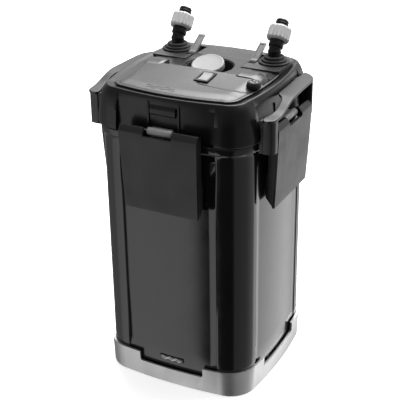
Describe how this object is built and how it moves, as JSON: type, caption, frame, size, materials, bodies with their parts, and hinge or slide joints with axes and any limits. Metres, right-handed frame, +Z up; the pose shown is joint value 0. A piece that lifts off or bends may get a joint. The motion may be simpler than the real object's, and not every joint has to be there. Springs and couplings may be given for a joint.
{
  "type": "aquarium canister filter",
  "caption": "Tall external aquarium filter: canister on a base tray under a pump head with carrying handles, hinged latches, swivelling hose tails, shut-off levers and a priming button.",
  "frame": {"origin": "middle of the bounding box's underside: the middle of the base tray where it stands", "axes": "+Z up; -Y is the front, with the badge, the switch and the knob nearest to it; +X is the right side as seen from the front, with a carrying handle; the hose tails lean towards +Y"},
  "size_m": [0.2824, 0.275, 0.5043],
  "materials": {
    "tray": "satin",
    "gloss": "gloss black",
    "satin": "satin black",
    "cover": "satin black",
    "handle": "fine grained",
    "plate": "fine grained",
    "grey": "satin",
    "light": "satin",
    "rubber": "matt",
    "steel": "brushed",
    "basket": "smoke grey",
    "foam": "open foam",
    "ceramic": "porous",
    "fleece": "soft"
  },
  "bodies": {
    "canister": {"base_tray": "tray", "foot_front_left": "rubber", "foot_front_right": "rubber", "foot_back_right": "rubber", "foot_back_left": "rubber", "canister_body": "gloss", "front_badge": "light", "media_basket_1": "basket", "media_basket_2": "basket", "media_basket_3": "basket", "media_basket_4": "basket", "coarse_foam_block": "foam", "ceramic_media_block": "ceramic", "fine_foam_block": "foam", "polishing_fleece_block": "fleece", "riser_tube": "basket"},
    "head": {"head_housing": "satin", "control_cover": "cover", "rear_cover": "cover", "primer_cylinder": "rubber", "tap_block_left": "handle", "tap_block_right": "handle", "swivel_collar_left": "rubber", "swivel_collar_right": "rubber", "switch_frame": "satin", "handle_left": "handle", "handle_right": "handle", "head_partition": "satin", "head_seal": "rubber", "motor_block": "satin", "impeller_chamber": "satin", "cable_gland": "rubber", "latch_knuckle_front": "grey", "latch_knuckle_right": "grey", "latch_knuckle_back": "grey", "latch_knuckle_left": "grey", "latch_pin_front": "steel", "latch_pin_right": "steel", "latch_pin_back": "steel", "latch_pin_left": "steel"},
    "latch_front": {"latch_plate_front": "plate"},
    "latch_right": {"latch_plate_right": "plate"},
    "latch_back": {"latch_plate_back": "plate"},
    "latch_left": {"latch_plate_left": "plate"},
    "elbow_left": {"hose_elbow_left": "satin"},
    "nut_left": {"hose_nut_left": "grey"},
    "lever_left": {"tap_lever_left": "grey"},
    "elbow_right": {"hose_elbow_right": "satin"},
    "nut_right": {"hose_nut_right": "grey"},
    "lever_right": {"tap_lever_right": "grey"},
    "primer": {"primer_button": "light"},
    "rocker": {"switch_rocker": "grey"},
    "knob": {"flow_knob": "grey"},
    "impeller": {"impeller": "light"}
  },
  "joints": [
    {"name": "head_lift", "type": "slide", "parent": "canister", "child": "head", "axis": [0, 0, 1], "range_m": [0, 0.12]},
    {"name": "latch_front_hinge", "type": "hinge", "parent": "head", "child": "latch_front", "pos_m": [0, -0.127, 0.399], "axis": [-1, 0, 0], "range_deg": [0, 110]},
    {"name": "latch_right_hinge", "type": "hinge", "parent": "head", "child": "latch_right", "pos_m": [0.127, 0, 0.399], "axis": [0, -1, 0], "range_deg": [0, 90]},
    {"name": "latch_back_hinge", "type": "hinge", "parent": "head", "child": "latch_back", "pos_m": [0, 0.127, 0.399], "axis": [1, 0, 0], "range_deg": [0, 110]},
    {"name": "latch_left_hinge", "type": "hinge", "parent": "head", "child": "latch_left", "pos_m": [-0.127, 0, 0.399], "axis": [0, 1, 0], "range_deg": [0, 90]},
    {"name": "elbow_left_swivel", "type": "hinge", "parent": "head", "child": "elbow_left", "pos_m": [-0.076, 0.065, 0.455], "axis": [0, 0, 1], "range_deg": [-150, 150]},
    {"name": "nut_left_turn", "type": "hinge", "parent": "elbow_left", "child": "nut_left", "pos_m": [-0.076, 0.06786, 0.46681], "axis": [0, 0.6157, 0.788], "continuous": true},
    {"name": "tap_lever_left_hinge", "type": "hinge", "parent": "head", "child": "lever_left", "pos_m": [-0.0485, 0.058, 0.445], "axis": [1, 0, 0], "range_deg": [0, 95]},
    {"name": "elbow_right_swivel", "type": "hinge", "parent": "head", "child": "elbow_right", "pos_m": [0.076, 0.065, 0.455], "axis": [0, 0, 1], "range_deg": [-150, 150]},
    {"name": "nut_right_turn", "type": "hinge", "parent": "elbow_right", "child": "nut_right", "pos_m": [0.076, 0.06786, 0.46681], "axis": [0, 0.6157, 0.788], "continuous": true},
    {"name": "tap_lever_right_hinge", "type": "hinge", "parent": "head", "child": "lever_right", "pos_m": [0.0485, 0.058, 0.445], "axis": [1, 0, 0], "range_deg": [0, 95]},
    {"name": "primer_press", "type": "hinge", "parent": "head", "child": "primer", "pos_m": [0, -0.012, 0.4434], "axis": [-1, 0, 0], "range_deg": [0, 14], "stiffness_Nm_per_rad": 0.25, "springref_deg": -14.32},
    {"name": "switch_rock", "type": "hinge", "parent": "head", "child": "rocker", "pos_m": [0.0215, -0.039, 0.4485], "axis": [-1, 0, 0], "range_deg": [0, 16]},
    {"name": "flow_knob_turn", "type": "hinge", "parent": "head", "child": "knob", "pos_m": [0.091, -0.036, 0.45], "axis": [0, 0, 1], "range_deg": [-135, 135]},
    {"name": "impeller_spin", "type": "hinge", "parent": "head", "child": "impeller", "pos_m": [0, -0.056, 0.36], "axis": [0, 0, 1], "continuous": true}
  ]
}
